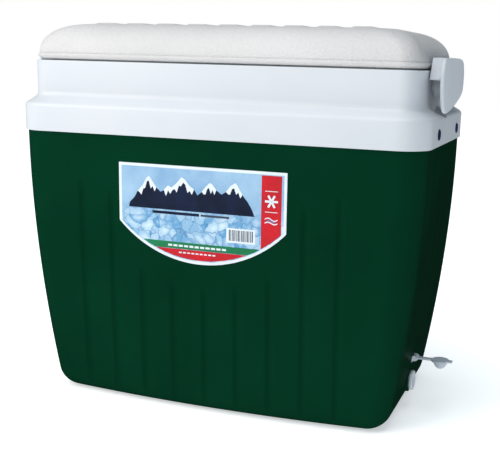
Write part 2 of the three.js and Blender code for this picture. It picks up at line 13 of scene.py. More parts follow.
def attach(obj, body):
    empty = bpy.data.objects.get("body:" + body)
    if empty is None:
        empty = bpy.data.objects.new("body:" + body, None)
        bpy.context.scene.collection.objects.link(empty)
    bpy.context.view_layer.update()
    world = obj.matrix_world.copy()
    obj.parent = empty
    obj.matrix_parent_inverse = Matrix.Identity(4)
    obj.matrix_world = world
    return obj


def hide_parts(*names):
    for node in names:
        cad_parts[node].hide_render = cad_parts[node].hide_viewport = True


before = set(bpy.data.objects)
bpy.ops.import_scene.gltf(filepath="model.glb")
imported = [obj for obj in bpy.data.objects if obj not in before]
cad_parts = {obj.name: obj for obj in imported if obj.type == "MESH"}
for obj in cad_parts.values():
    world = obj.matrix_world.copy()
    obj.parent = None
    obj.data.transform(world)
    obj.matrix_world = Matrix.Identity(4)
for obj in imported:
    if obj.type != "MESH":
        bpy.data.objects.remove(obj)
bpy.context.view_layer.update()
MM = 0.001

# ---------- dimensions shared with the CAD, in millimetres ----------
COLLAR_A, COLLAR_B, COLLAR_R = 236, 124, 33
COLLAR_FOOT, RIM_Z = 309, 387
TOP_INSET = 2.8
BASE_A, BASE_B, BASE_R = 203, 109, 25
TAPER_POWER, BASE_FILLET, BASE_BOW = 1.93, 22, 9
SHELL_TOP = 316
FLUTE_PITCH, FLUTE_HALF, FLUTE_DEPTH, FLUTE_FADE = 37.8, 5.8, 2.5, 30
FLUTE_TOPS = (157.5, 163, 176.5, 257, 267)
LID_A, LID_B, LID_R = 220.5, 108.5, 19
LID_FOOT, LIP_TOP, DOME_FOOT = 388.6, 394.4, 395.5
DOME_RUN, DOME_RISE, DOME_POWER = 44, 33, 2.2
RIB_WIDTH, RIB_HALF_LENGTH, RIB_HEIGHT = 25, 66, 1.5
PIVOT_Y, PIVOT_Z, HUB_SEAT_R = -20, 372, 34.6
SEAT_FACE = 220.6
ARM_IN, ARM_SIDE, ARM_PLATE, ARM_OUT = 221.6, 233, 236.4, 240
ARM_FOOT, ARM_TOP, ARM_ROOT = 377, 400.5, -30
GRIP_IN, GRIP_OUT, BAIL_OUT_R, BAIL_IN_R = 114, 134, 40, 9
LABEL_X, LABEL_HALF, LABEL_TOP, LABEL_SIDE_FOOT, LABEL_FOOT = -4.7, 98.2, 280, 215.5, 173.7
LABEL_LIFT, LABEL_THICK = 0.15, 0.5
DRAIN_Y, DRAIN_Z, DRAIN_PAD_X, DRAIN_CLEAR = -14, 34.5, 211.3, 10


# ---------- camera: degrees, metres, and millimetres for the lens ----------
AZIMUTH, ELEVATION, ROLL = 18.13, 12.19, 1.53
CAMERA_AT = (0.38931, -0.96273, 0.39281)
LENS, SENSOR = 62.61, 36
SHIFT_X, SHIFT_Y = -0.1093, 0.0356


def make_camera():
    azimuth, elevation, roll = (math.radians(v) for v in (AZIMUTH, ELEVATION, ROLL))
    look = Vector((-math.sin(azimuth) * math.cos(elevation), math.cos(azimuth) * math.cos(elevation),
                   -math.sin(elevation)))
    side = Vector((math.cos(azimuth), math.sin(azimuth), 0))
    up = side.cross(look)
    right = side * math.cos(roll) + up * math.sin(roll)
    top = up * math.cos(roll) - side * math.sin(roll)
    camera = bpy.data.objects.new("camera", bpy.data.cameras.new("camera"))
    bpy.context.scene.collection.objects.link(camera)
    camera.matrix_world = Matrix.Translation(CAMERA_AT) @ Matrix(
        [[right[i], top[i], -look[i]] for i in range(3)]).to_4x4()
    camera.data.sensor_width = SENSOR
    camera.data.lens = LENS
    camera.data.shift_x = SHIFT_X
    camera.data.shift_y = SHIFT_Y
    camera.data.clip_start = 0.05
    camera.data.clip_end = 50
    bpy.context.scene.camera = camera


make_camera()


# ---------- materials ----------
class Shader:
    """A Principled material under construction: small helpers that add and join nodes."""

    def __init__(self, name):
        self.material = bpy.data.materials.new(name)
        self.material.use_nodes = True
        self.tree = self.material.node_tree
        self.principled = self.tree.nodes["Principled BSDF"]
        self.coords = self.tree.nodes.new("ShaderNodeTexCoord").outputs["Object"]

    def node(self, kind, inputs=None, **settings):
        made = self.tree.nodes.new(kind)
        for key, value in settings.items():
            setattr(made, key, value)
        for key, value in (inputs or {}).items():
            self.feed(made.inputs[key], value)
        return made

    def feed(self, socket, value):
        if isinstance(value, bpy.types.NodeSocket):
            self.tree.links.new(value, socket)
        else:
            socket.default_value = value

    def set(self, name, value):
        self.feed(self.principled.inputs[name], value)

    def noise(self, scale, detail=3, roughness=0.5, stretch=None):
        vector = self.coords
        if stretch:
            vector = self.node("ShaderNodeMapping", {"Vector": self.coords, "Scale": stretch}).outputs[0]
        made = self.node("ShaderNodeTexNoise", {"Vector": vector, "Scale": scale, "Detail": detail,
                                                "Roughness": roughness})
        return made.outputs["Fac"]

    def mix(self, fac, a, b):
        made = self.node("ShaderNodeMix", data_type="RGBA")
        self.feed(made.inputs["Factor"], fac)
        self.feed(made.inputs[6], a if isinstance(a, bpy.types.NodeSocket) else (*a, 1))
        self.feed(made.inputs[7], b if isinstance(b, bpy.types.NodeSocket) else (*b, 1))
        return made.outputs[2]

    def span(self, value, low, high, to_low=0.0, to_high=1.0):
        return self.node("ShaderNodeMapRange", {"Value": value, "From Min": low, "From Max": high,
                                                "To Min": to_low, "To Max": to_high}).outputs["Result"]

    def math(self, operation, a, b=0.0):
        return self.node("ShaderNodeMath", {0: a, 1: b}, operation=operation).outputs[0]

    def height(self):
        return self.node("ShaderNodeSeparateXYZ", {"Vector": self.coords}).outputs["Z"]

    def bump(self, height, strength, distance, normal=None):
        made = self.node("ShaderNodeBump", {"Height": height, "Strength": strength, "Distance": distance})
        if normal is not None:
            self.feed(made.inputs["Normal"], normal)
        self.set("Normal", made.outputs["Normal"])
        return made.outputs["Normal"]


def srgb(r, g, b):
    """Linear colour of an sRGB value given in 0 to 255."""
    shares = [v / 255 for v in (r, g, b)]
    return tuple(v / 12.92 if v <= 0.04045 else ((v + 0.055) / 1.055) ** 2.4 for v in shares)


def plastic(name, light, dark, roughness, grain_scale, grain, mottle=6, sheen_spread=0.08):
    """Moulded plastic: slow colour drift, fine grain in the surface, and roughness that drifts with it."""
    s = Shader(name)
    slow = s.noise(mottle, 4, 0.55)
    s.set("Base Color", s.mix(s.span(slow, 0.3, 0.7), dark, light))
    s.set("Roughness", s.span(slow, 0.25, 0.75, roughness - sheen_spread / 2, roughness + sheen_spread / 2))
    coarse = s.noise(grain_scale * 0.22, 2)
    normal = s.bump(coarse, 0.25, grain * 1.5)
    s.bump(s.noise(grain_scale, 2), 0.5, grain, normal)
    return s.material


def green_plastic():
    s = Shader("green_shell_plastic")
    slow = s.noise(7, 4, 0.55)
    z = s.height()
    streak = s.noise(26, 3, 0.5, (1, 1, 0.12))
    drift = s.mix(s.span(slow, 0.3, 0.7), srgb(3, 46, 28), srgb(4, 53, 33))
    scuff = s.span(s.noise(95, 5, 0.62), 0.66, 0.8)
    low = s.span(z, 0.05, 0.0)
    rub = s.math("MULTIPLY", scuff, s.span(low, 0.0, 1.0, 0.1, 0.5))
    s.set("Base Color", s.mix(rub, drift, srgb(28, 74, 52)))
    s.set("Roughness", s.span(streak, 0.3, 0.7, 0.36, 0.44))
    s.set("Specular IOR Level", 0.01)
    normal = s.bump(s.noise(60, 2), 0.12, 0.0006)
    s.bump(s.noise(900, 2), 0.35, 0.00012, normal)
    return s.material


def pebbled_white():
    s = Shader("white_lid_pebbled")
    slow = s.noise(8, 4, 0.5)
    s.set("Base Color", s.mix(s.span(slow, 0.3, 0.7), srgb(206, 203, 202), srgb(216, 213, 212)))
    s.set("Roughness", s.span(slow, 0.3, 0.7, 0.5, 0.6))
    cells = s.node("ShaderNodeTexVoronoi", {"Vector": s.coords, "Scale": 520.0, "Smoothness": 0.35},
                   feature="SMOOTH_F1").outputs["Distance"]
    normal = s.bump(s.noise(240, 3), 0.6, 0.0007)
    s.bump(cells, 0.8, 0.0006, normal)
    return s.material


def foam_material():
    s = Shader("foam_beads")
    cells = s.node("ShaderNodeTexVoronoi", {"Vector": s.coords, "Scale": 260.0}).outputs["Distance"]
    s.set("Base Color", s.mix(s.span(cells, 0.0, 0.7), srgb(214, 204, 172), srgb(240, 233, 208)))
    s.set("Roughness", s.span(cells, 0.0, 0.7, 0.95, 0.8))
    s.bump(cells, 0.6, 0.0008)
    return s.material


def label_paper():
    """Printed film: pale blue field with ice facets, darker towards the foot."""
    s = Shader("label_film")
    z = s.height()
    warped = s.node("ShaderNodeMix", data_type="VECTOR")
    s.feed(warped.inputs["Factor"], 0.02)
    s.feed(warped.inputs[4], s.coords)
    s.feed(warped.inputs[5], s.node("ShaderNodeTexNoise", {"Vector": s.coords, "Scale": 45.0}).outputs["Color"])
    cubes = {"Vector": warped.outputs[1], "Scale": 88.0, "Randomness": 0.9}
    facets = s.node("ShaderNodeTexVoronoi", cubes, feature="F1", distance="MANHATTAN")
    edges = s.node("ShaderNodeTexVoronoi", cubes, feature="DISTANCE_TO_EDGE").outputs["Distance"]
    tone = s.node("ShaderNodeSeparateColor", {"Color": facets.outputs["Color"]}).outputs[0]
    ice = s.mix(tone, srgb(96, 158, 202), srgb(180, 210, 230))
    ice = s.mix(s.span(facets.outputs["Distance"], 0.15, 0.75, 0.55, 0.0), ice, srgb(228, 242, 250))
    ice = s.mix(s.span(edges, 0.0, 0.05, 0.7, 0.0), ice, srgb(52, 112, 168))
    sky = s.mix(s.span(s.noise(22, 3), 0.35, 0.65), srgb(128, 168, 206), srgb(164, 198, 224))
    mist = s.span(s.math("ADD", z, s.math("MULTIPLY", s.noise(40, 3), 0.012)), 0.246, 0.226)
    field = s.mix(mist, sky, ice)
    s.set("Base Color", field)
    s.set("Roughness", s.span(s.noise(40, 2), 0.3, 0.7, 0.24, 0.32))
    s.set("Coat Weight", 0.25)
    s.bump(s.noise(35, 2), 0.08, 0.0008)
    return s.material


def printed(name, colour, other, scale=60):
    """Solid ink with a little unevenness and the film's gloss."""
    s = Shader(name)
    slow = s.noise(scale, 3)
    s.set("Base Color", s.mix(s.span(slow, 0.35, 0.65), colour, other))
    s.set("Roughness", s.span(slow, 0.3, 0.7, 0.26, 0.34))
    s.bump(s.noise(500, 2), 0.1, 0.0001)
    return s.material


GREEN = green_plastic()
WHITE = plastic("white_trim_plastic", srgb(214, 216, 220), srgb(207, 211, 216), 0.36, 1100, 0.00012)
HANDLE_WHITE = plastic("white_handle_plastic", srgb(222, 225, 230), srgb(215, 219, 225), 0.42, 900, 0.00018)
LID_WHITE = pebbled_white()
LINER_WHITE = plastic("white_liner_plastic", srgb(236, 238, 238), srgb(229, 232, 232), 0.33, 700, 0.0001)
NAVY = plastic("navy_plug_plastic", srgb(34, 52, 96), srgb(24, 40, 80), 0.35, 900, 0.0001, mottle=40)
GREY = plastic("grey_trim_plastic", srgb(226, 231, 235), srgb(214, 221, 226), 0.38, 900, 0.00015, mottle=40)
PLUG_GREY = plastic("grey_plug_plastic", srgb(204, 212, 220), srgb(190, 200, 210), 0.42, 900, 0.00015,
                    mottle=40)
SEAL = plastic("grey_seal_rubber", srgb(132, 138, 142), srgb(118, 124, 128), 0.7, 1200, 0.00015, mottle=40)
FOAM = foam_material()
LABEL = label_paper()
INK_WHITE = printed("ink_white", srgb(228, 235, 240), srgb(220, 228, 235))
INK_NAVY = printed("ink_navy", srgb(26, 38, 66), srgb(18, 28, 52))
INK_RED = printed("ink_red", srgb(208, 24, 38), srgb(194, 16, 30))
INK_GREEN = printed("ink_green", srgb(34, 132, 84), srgb(24, 118, 74))
INK_BLUE = printed("ink_blue", srgb(58, 128, 190), srgb(46, 112, 176))
INK_GREY = printed("ink_grey", srgb(74, 82, 94), srgb(60, 68, 80))


# ---------- mesh helpers ----------
def make_object(name, verts, faces, material, smooth=True):
    """A mesh object from points in millimetres, its faces turned outwards."""
    mesh = bpy.data.meshes.new(name)
    mesh.from_pydata([tuple(c * MM for c in v) for v in verts], [], faces)
    bm = bmesh.new()
    bm.from_mesh(mesh)
    bmesh.ops.recalc_face_normals(bm, faces=bm.faces)
    bm.to_mesh(mesh)
    bm.free()
    mesh.materials.append(material)
    for polygon in mesh.polygons:
        polygon.use_smooth = smooth
    made = bpy.data.objects.new(name, mesh)
    bpy.context.scene.collection.objects.link(made)
    return made


def sharpen(obj, degrees):
    """Keeps edges sharper than the angle crisp in an otherwise smooth shading."""
    modifier = obj.modifiers.new("crisp", "EDGE_SPLIT")
    modifier.split_angle = math.radians(degrees)
    modifier.use_edge_sharp = False
    return obj


def loft(rings, joined=False, cap_low=True, cap_high=True):
    """Points and faces through rings of equal counts, closed round each ring."""
    count = len(rings[0])
    verts = [p for ring in rings for p in ring]
    faces = []
    spans = len(rings) if joined else len(rings) - 1
    for r in range(spans):
        low, high = r * count, ((r + 1) % len(rings)) * count
        for i in range(count):
            j = (i + 1) % count
            faces.append((low + i, low + j, high + j, high + i))
    if not joined and cap_low:
        faces.append(tuple(range(count - 1, -1, -1)))
    if not joined and cap_high:
        start = (len(rings) - 1) * count
        faces.append(tuple(range(start, start + count)))
    return verts, faces


def smooth_step(t):
    t = min(max(t, 0.0), 1.0)
    return t * t * (3 - 2 * t)


CORNER_STEPS = 16
SIDE_POINTS = 240
END_POINTS = 40


def section(a, b, r, z, front=None, back=None):
    """Rounded rectangle in plan with dense sides; front and back give the half depth at x."""
    front = front or (lambda x: b)
    back = back or (lambda x: b)
    inner, ring = a - r, []

    def corner(cx, cy, start):
        for i in range(CORNER_STEPS + 1):
            t = math.radians(start + 90 * i / CORNER_STEPS)
            ring.append((cx + r * math.cos(t), cy + r * math.sin(t), z))

    corner(-inner, -(b - r), 180)
    for i in range(1, SIDE_POINTS):
        x = inner * (2 * i / SIDE_POINTS - 1)
        ring.append((x, -front(x), z))
    corner(inner, -(b - r), 270)
    for i in range(1, END_POINTS):
        ring.append((a, (b - r) * (2 * i / END_POINTS - 1), z))
    corner(inner, b - r, 0)
    for i in range(1, SIDE_POINTS):
        x = inner * (1 - 2 * i / SIDE_POINTS)
        ring.append((x, back(x), z))
    corner(-inner, b - r, 90)
    for i in range(1, END_POINTS):
        ring.append((-a, (b - r) * (1 - 2 * i / END_POINTS), z))
    return ring


def tub_size(z):
    h = min(z / COLLAR_FOOT, 1)
    g = 1 - (1 - h) ** TAPER_POWER
    return (BASE_A + (COLLAR_A - TOP_INSET - BASE_A) * g, BASE_B + (COLLAR_B - TOP_INSET - BASE_B) * g,
            BASE_R + (COLLAR_R - TOP_INSET - BASE_R) * g, BASE_BOW * (1 - h))


def flute_depth(x, z):
    i = round(x / FLUTE_PITCH)
    across = abs(x - i * FLUTE_PITCH) / FLUTE_HALF
    if abs(i) > 4 or across >= 1:
        return 0.0
    profile = 0.5 + 0.5 * math.cos(math.pi * across)
    top_fade = smooth_step((FLUTE_TOPS[abs(i)] - z) / FLUTE_FADE)
    foot_fade = smooth_step((z - 5) / 14)
    return FLUTE_DEPTH * profile * top_fade * foot_fade


def tub_ring(z):
    a, b, r, bow = tub_size(z)
    t = min(max((BASE_FILLET - z) / BASE_FILLET, 0), 1)
    draw = BASE_FILLET * (1 - math.sqrt(1 - t * t))
    a, b, r = a - draw, b - draw, max(r - draw, 8)
    inner = a - r

    def bowed(x):
        return b + bow * max(0.0, 1 - (x / inner) ** 2)

    return section(a, b, r, z, lambda x: bowed(x) - flute_depth(x, z), bowed)


def lathe_x(profile, y, z, steps=64):
    """Rings about an axis along X through (y, z); profile is a list of (x, radius)."""
    return [[(x, y + radius * math.cos(math.tau * i / steps), z + radius * math.sin(math.tau * i / steps))
             for i in range(steps)] for x, radius in profile]


def merge(*solids):
    """One list of points and faces from several."""
    verts, faces = [], []
    for points, polygons in solids:
        base = len(verts)
        verts += points
        faces += [tuple(base + i for i in polygon) for polygon in polygons]
    return verts, faces


def mirrored(solid):
    points, polygons = solid
    return [(-x, y, z) for x, y, z in points], polygons


def place(obj, body, slot, *nodes):
    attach(obj, body)
    if nodes:
        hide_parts(*nodes)
    return obj


# ---------- outer shell ----------
def shell_levels():
    levels = [BASE_FILLET * (1 - math.cos(math.pi / 2 * i / 10)) for i in range(11)]
    return levels + [BASE_FILLET + (SHELL_TOP - BASE_FILLET) * i / 110 for i in range(1, 111)]


def over_drain(corners):
    """True where a face of the wall lies under the drain's pad, so that the bore stays open."""
    x, y, z = (sum(c[k] for c in corners) / len(corners) for k in range(3))
    return x > BASE_A - 20 and math.hypot(y - DRAIN_Y, z - DRAIN_Z) < DRAIN_CLEAR and len(corners) == 4


def make_shell():
    rings = [tub_ring(z) for z in shell_levels()]
    a, b, r, _ = tub_size(SHELL_TOP)
    rings.append(section(a - 4, b - 4, r - 4, SHELL_TOP))
    rings.append(section(a - 4, b - 4, r - 4, SHELL_TOP - 12))
    verts, faces = loft(rings, cap_high=False)
    outer = verts, [face for face in faces if not over_drain([verts[i] for i in face])]
    pad = loft(lathe_x([(202, 14), (DRAIN_PAD_X - 1, 13.6), (DRAIN_PAD_X - 0.3, 13.3), (DRAIN_PAD_X, 12.6),
                        (DRAIN_PAD_X, 9), (199, 9)], DRAIN_Y, DRAIN_Z), cap_low=False, cap_high=False)
    return sharpen(make_object("tub_shell", *merge(outer, pad), GREEN), 50)


place(make_shell(), "chest", "green_shell", "outer_shell")


# ---------- collar ----------
def fillet_profile(points, radius, steps=5):
    """A closed profile with each corner rounded as far as its neighbours allow."""
    out = []
    n = len(points)
    for i in range(n):
        p = Vector(points[i])
        before, after = Vector(points[i - 1]) - p, Vector(points[(i + 1) % n]) - p
        cut = min(radius[i], before.length * 0.45, after.length * 0.45)
        if cut < 0.05:
            out.append(tuple(p))
            continue
        start, end = p + before.normalized() * cut, p + after.normalized() * cut
        for k in range(steps + 1):
            t = k / steps
            out.append(tuple(start * (1 - t) ** 2 + p * 2 * t * (1 - t) + end * t * t))
    return out


def make_collar():
    profile = [(0, COLLAR_FOOT), (0, 339.4), (13.4, 347.2), (15, 351.5), (15, RIM_Z), (17, RIM_Z), (17, 383.7),
               (20.3, 383.7), (20.3, 316.3), (2.5, 316.3), (2.5, COLLAR_FOOT)]
    rounding = [0.9, 3.2, 4.5, 4.5, 1.4, 0.8, 0, 0, 0, 0, 0.9]
    rings = [section(COLLAR_A - o, COLLAR_B - o, COLLAR_R - o, z) for o, z in fillet_profile(profile, rounding)]
    collar = make_object("collar_trim", *loft(rings, joined=True), WHITE)
    cutters = merge(*(side(loft(lathe_x([(SEAT_FACE, HUB_SEAT_R), (246, HUB_SEAT_R)], PIVOT_Y, PIVOT_Z, 96)))
                      for side in (lambda solid: solid, mirrored)))
    cutter = make_object("collar_cutter", *cutters, WHITE)
    cut = collar.modifiers.new("seats", "BOOLEAN")
    cut.operation, cut.object, cut.solver = "DIFFERENCE", cutter, "EXACT"
    bpy.context.view_layer.update()
    done = bpy.data.meshes.new_from_object(collar.evaluated_get(bpy.context.evaluated_depsgraph_get()))
    collar.modifiers.clear()
    collar.data = done
    bpy.data.objects.remove(cutter)
    return sharpen(collar, 38)


place(make_collar(), "chest", "white_trim", "collar")


# ---------- lid cover ----------
def rib_height(x, y):
    """Height of the broad raised ribs across the lid's top."""
    i = round(x / FLUTE_PITCH)
    if abs(i) > 4:
        return 0.0
    dx = abs(x - i * FLUTE_PITCH) - (RIB_WIDTH / 2 - 5)
    dy = abs(y) - (RIB_HALF_LENGTH - 5)
    out = math.hypot(max(dx, 0), max(dy, 0)) + min(max(dx, dy), 0)
    return RIB_HEIGHT * smooth_step((5 - out) / 3.2)


def slit_faces(start, count):
    """Closes the narrow last ring of a section: quads from its front side to its back, and its two ends."""
    front = CORNER_STEPS
    back = 3 * CORNER_STEPS + SIDE_POINTS + END_POINTS
    faces = [(start + front + k, start + front + k + 1, start + back + SIDE_POINTS - k - 1,
              start + back + SIDE_POINTS - k) for k in range(SIDE_POINTS)]
    right = [start + i for i in range(front + SIDE_POINTS, back + 1)]
    left = [start + i % count for i in range(back + SIDE_POINTS, count + front + 1)]
    return faces + [tuple(right), tuple(left)]


def make_lid():
    rings = []
    lip = [(6, LID_FOOT), (2.8, LID_FOOT), (0, LID_FOOT + 3.6), (0, LIP_TOP), (1.9, LIP_TOP + 0.2),
           (1.5, DOME_FOOT + 0.4)]
    for o, z in fillet_profile(lip, [0, 1.2, 1.6, 1.2, 0.5, 0]):
        rings.append(section(LID_A - o, LID_B - o, LID_R - o * 0.5, z))
    for i in range(1, 33):
        u = 1 - (1 - i / 32) ** 1.9
        o = 1.5 + (DOME_RUN - 1.5) * (1 - (1 - u ** DOME_POWER) ** (1 / DOME_POWER))
        rings.append(section(LID_A - o, LID_B - o, LID_R + o * 0.25, DOME_FOOT + DOME_RISE * u))
    top = DOME_FOOT + DOME_RISE
    last = LID_B - DOME_RUN
    radius = LID_R + DOME_RUN * 0.25
    steps = 34
    for i in range(1, steps + 1):
        o = DOME_RUN + (last - 0.4) * i / steps
        rings.append(section(LID_A - o, LID_B - o, min(radius, LID_B - o), top))
    raised = [[(x, y, z + (rib_height(x, y) if z > top - 2.4 else 0)) for x, y, z in ring] for ring in rings]
    under = section(LID_A - 6, LID_B - 6, LID_R - 3, LID_FOOT + 4)
    verts, faces = loft([under] + raised, cap_low=False, cap_high=False)
    faces += slit_faces(len(verts) - len(under), len(under))
    return sharpen(make_object("lid_top", verts, faces, LID_WHITE), 60)


place(make_lid(), "lid", "white_lid", "lid_cover")


# ---------- handle ----------
def resample(points, count, closed=True):
    """Points evenly spaced along a polyline."""
    p = np.array(list(points) + ([points[0]] if closed else []), float)
    run = np.concatenate([[0], np.cumsum(np.linalg.norm(np.diff(p, axis=0), axis=1))])
    at = np.linspace(0, run[-1], count + (1 if closed else 0))[: count]
    return np.stack([np.interp(at, run, p[:, k]) for k in range(2)], 1)


def chaikin(points, times=3):
    for _ in range(times):
        points = [tuple((1 - t) * np.array(points[i]) + t * np.array(points[(i + 1) % len(points)]))
                  for i in range(len(points)) for t in (0.25, 0.75)]
    return points


def rounded_prism(outline, x0, x1, edge0, edge1, count=160):
    """Prism along X from an outline in the YZ plane whose two rims are rounded by edge0 and edge1."""
    line = resample(outline, count)
    tangent = np.roll(line, -1, 0) - np.roll(line, 1, 0)
    normal = np.stack([tangent[:, 1], -tangent[:, 0]], 1) / np.linalg.norm(tangent, axis=1)[:, None]
    area = np.sum(line[:, 0] * np.roll(line[:, 1], -1) - line[:, 1] * np.roll(line[:, 0], -1))
    inward = -normal if area > 0 else normal
    rings = []
    for x, edge, side in ((x0, edge0, 1), (x1, edge1, -1)):
        arc = [(edge * (1 - math.sin(t)), edge * (1 - math.cos(t))) for t in
               (math.pi / 2 * i / 5 for i in range(6))]
        for inset, along in (arc if side > 0 else reversed(arc)):
            ring = line + inward * inset
            rings.append([(x + side * along, y, z) for y, z in ring])
    return loft(rings)


PLATE_OUTLINE = [(-54, 400.5), (-62, 396), (-69, 386), (-71, 377), (-69, 366), (-64, 355), (-57, 347.5),
                 (-48, 343.5), (-34, 342.8), (-10, 345.2), (14, 349.2), (34, 353.2), (54, 357.5), (66, 363.5),
                 (70, 373), (69, 386), (64, 395), (52, 400.5)]
ROOT_OUTLINE = [(-38.5, 400.2), (-52.8, 377.3), (61.8, 377.3), (58, 400.2)]


def bail_solid():
    """The U of the handle: a rounded bar from one arm's root round the grip to the other's."""
    def quarter(cx, cy, r, start, steps=14):
        return [(cx + r * math.cos(math.radians(start + 90 * i / steps)),
                 cy + r * math.sin(math.radians(start + 90 * i / steps))) for i in range(steps + 1)]

    outer = [(ARM_SIDE, ARM_ROOT + (GRIP_OUT - BAIL_OUT_R - ARM_ROOT) * i / 6) for i in range(6)]
    outer += quarter(ARM_SIDE - BAIL_OUT_R, GRIP_OUT - BAIL_OUT_R, BAIL_OUT_R, 0)
    inner = [(ARM_IN, ARM_ROOT + (GRIP_IN - BAIL_IN_R - ARM_ROOT) * i / 6) for i in range(6)]
    inner += quarter(ARM_IN - BAIL_IN_R, GRIP_IN - BAIL_IN_R, BAIL_IN_R, 0)
    half = [(o, i) for o, i in zip(outer, inner)]
    other = [((-o[0], o[1]), (-i[0], i[1])) for o, i in reversed(half)]
    middle = 12
    start, end = half[-1], other[0]
    bridge = [(tuple(np.array(start[0]) * (1 - k / middle) + np.array(end[0]) * k / middle),
               tuple(np.array(start[1]) * (1 - k / middle) + np.array(end[1]) * k / middle))
              for k in range(1, middle)]
    rings = []
    for o, i in half + bridge + other:
        o, i = np.array(o), np.array(i)
        width = np.linalg.norm(o - i)
        across = (o - i) / width
        ring = []
        edge = 4.0
        for cu, cz, begin in ((width - edge, ARM_TOP - edge, 0), (edge, ARM_TOP - edge, 90),
                              (edge, ARM_FOOT + edge, 180), (width - edge, ARM_FOOT + edge, 270)):
            for k in range(7):
                t = math.radians(begin + 15 * k)
                point = i + across * (cu + edge * math.cos(t))
                ring.append((point[0], point[1], cz + edge * math.sin(t)))
        rings.append(ring)
    return loft(rings)


def make_handle():
    plate = rounded_prism(chaikin(PLATE_OUTLINE, 2), ARM_PLATE, ARM_OUT, 0.8, 1.7)
    root = rounded_prism(ROOT_OUTLINE, ARM_IN + 0.3, ARM_PLATE + 0.4, 1.0, 0.2, 200)
    hub = loft(lathe_x([(223.5, 9.3), (223.5, 12.9), (224.1, 13.5), (ARM_PLATE + 0.4, 13.5),
                        (ARM_PLATE + 0.4, 9.3)], PIVOT_Y, PIVOT_Z), cap_low=False, cap_high=False)
    side = merge(plate, root, hub)
    return sharpen(make_object("handle", *merge(bail_solid(), side, mirrored(side)), HANDLE_WHITE), 42)


place(make_handle(), "handle", "white_trim", "handle_bail")


# ---------- label ----------
# Ink lies on the film at one of two levels, so that one shape can be printed over another.
INK_LOW, INK_HIGH = 0.02, 0.1
BORDER_WIDTH, BAND_MARGIN = 3.1, 4.2


def front_face(x, z):
    a, b, r, bow = tub_size(z)
    return b + bow * (1 - (x / (a - r)) ** 2)


def label_foot(x):
    sag = LABEL_SIDE_FOOT - LABEL_FOOT
    radius = (LABEL_HALF ** 2 + sag ** 2) / (2 * sag)
    return LABEL_FOOT + radius - math.sqrt(radius ** 2 - (x - LABEL_X) ** 2)


def on_label(name, outline, lift, material, thick=0.07):
    """A thin printed shape lying on the label: an outline in x and z, filled and bent to the shell's face."""
    bm = bmesh.new()
    verts = [bm.verts.new((x, 0, z)) for x, z in outline]
    bm.faces.new(verts)
    bm.normal_update()
    bmesh.ops.triangulate(bm, faces=bm.faces)
    for _ in range(4):
        long = [e for e in bm.edges if e.calc_length() > 14]
        if not long:
            break
        bmesh.ops.subdivide_edges(bm, edges=long, cuts=1)
        bmesh.ops.triangulate(bm, faces=[f for f in bm.faces if len(f.verts) > 3])
    bm.verts.ensure_lookup_table()
    flat = [(v.co.x, v.co.z) for v in bm.verts]
    top = [tuple(v.index for v in f.verts) for f in bm.faces]
    rim = [tuple(v.index for v in e.verts) for e in bm.edges if len(e.link_faces) == 1]
    bm.free()
    n = len(flat)
    points = [(x, -(front_face(x, z) + LABEL_LIFT + LABEL_THICK + lift + d), z)
              for d in (0, thick) for x, z in flat]
    faces = [tuple(reversed(f)) for f in top] + [tuple(n + i for i in f) for f in top]
    faces += [(i, j, n + j, n + i) for i, j in rim]
    return points, faces


def label_outline(inset):
    half = LABEL_HALF - inset
    xs = [LABEL_X + half * (1 - 2 * i / 40) for i in range(41)]
    foot = [(x, label_foot(x) + inset * 1.06) for x in xs]
    low, high = foot[0][1], LABEL_TOP - inset
    rise = [low + (high - low) * i / 12 for i in range(1, 12)]
    top = [(x, high) for x in reversed(xs)]
    return top + [(xs[0], z) for z in reversed(rise)] + foot + [(xs[-1], z) for z in rise]


def label_base():
    columns, rows, strips = 64, 24, []
    for i in range(columns + 1):
        x = LABEL_X + LABEL_HALF * (2 * i / columns - 1)
        low = label_foot(x)
        for j in range(rows + 1):
            z = low + (LABEL_TOP - low) * j / rows
            strips.append((x, z))
    n = len(strips)
    verts = [(x, -(front_face(x, z) + LABEL_LIFT + d), z) for d in (0, LABEL_THICK) for x, z in strips]
    faces = []
    step = rows + 1
    for i in range(columns):
        for j in range(rows):
            quad = (i * step + j, (i + 1) * step + j, (i + 1) * step + j + 1, i * step + j + 1)
            faces += [quad, tuple(n + k for k in reversed(quad))]
    border = [i * step for i in range(columns + 1)] + [columns * step + j for j in range(1, rows + 1)]
    border += [i * step + rows for i in range(columns - 1, -1, -1)] + [j for j in range(rows - 1, 0, -1)]
    for k, i in enumerate(border):
        j = border[(k + 1) % len(border)]
        faces.append((i, j, n + j, n + i))
    return verts, faces


# The skyline, as x and height over its foot, and the stretches of it that carry snow.
RIDGE_FOOT = 231.5
RIDGE = ((-91, 0), (-90, 5), (-84, 11), (-80, 18), (-74, 24), (-69, 33), (-66, 35), (-62, 30), (-57, 23),
         (-52, 19), (-48, 21), (-43, 26), (-39, 24), (-33, 29), (-27, 36), (-23, 34), (-17, 27), (-12, 24),
         (-8, 18), (-3, 22), (2, 28), (6, 32), (9, 31), (14, 25), (20, 21), (25, 24), (31, 31), (36, 34),
         (39, 30), (44, 22), (50, 15), (55, 7), (58, 0))
SNOW_DROPS = (4.5, 9.5, 6.0, 12.0, 5.0)
SNOW_RUNS = ((3, 8), (10, 17), (19, 23), (25, 29))


def mountain_range(z0):
    """One broken ridge of peaks standing on the level z0."""
    return [(x, z0 + z) for x, z in RIDGE]


def bar(x0, x1, z0, z1):
    return [(x0, z0), (x1, z0), (x1, z1), (x0, z1)]


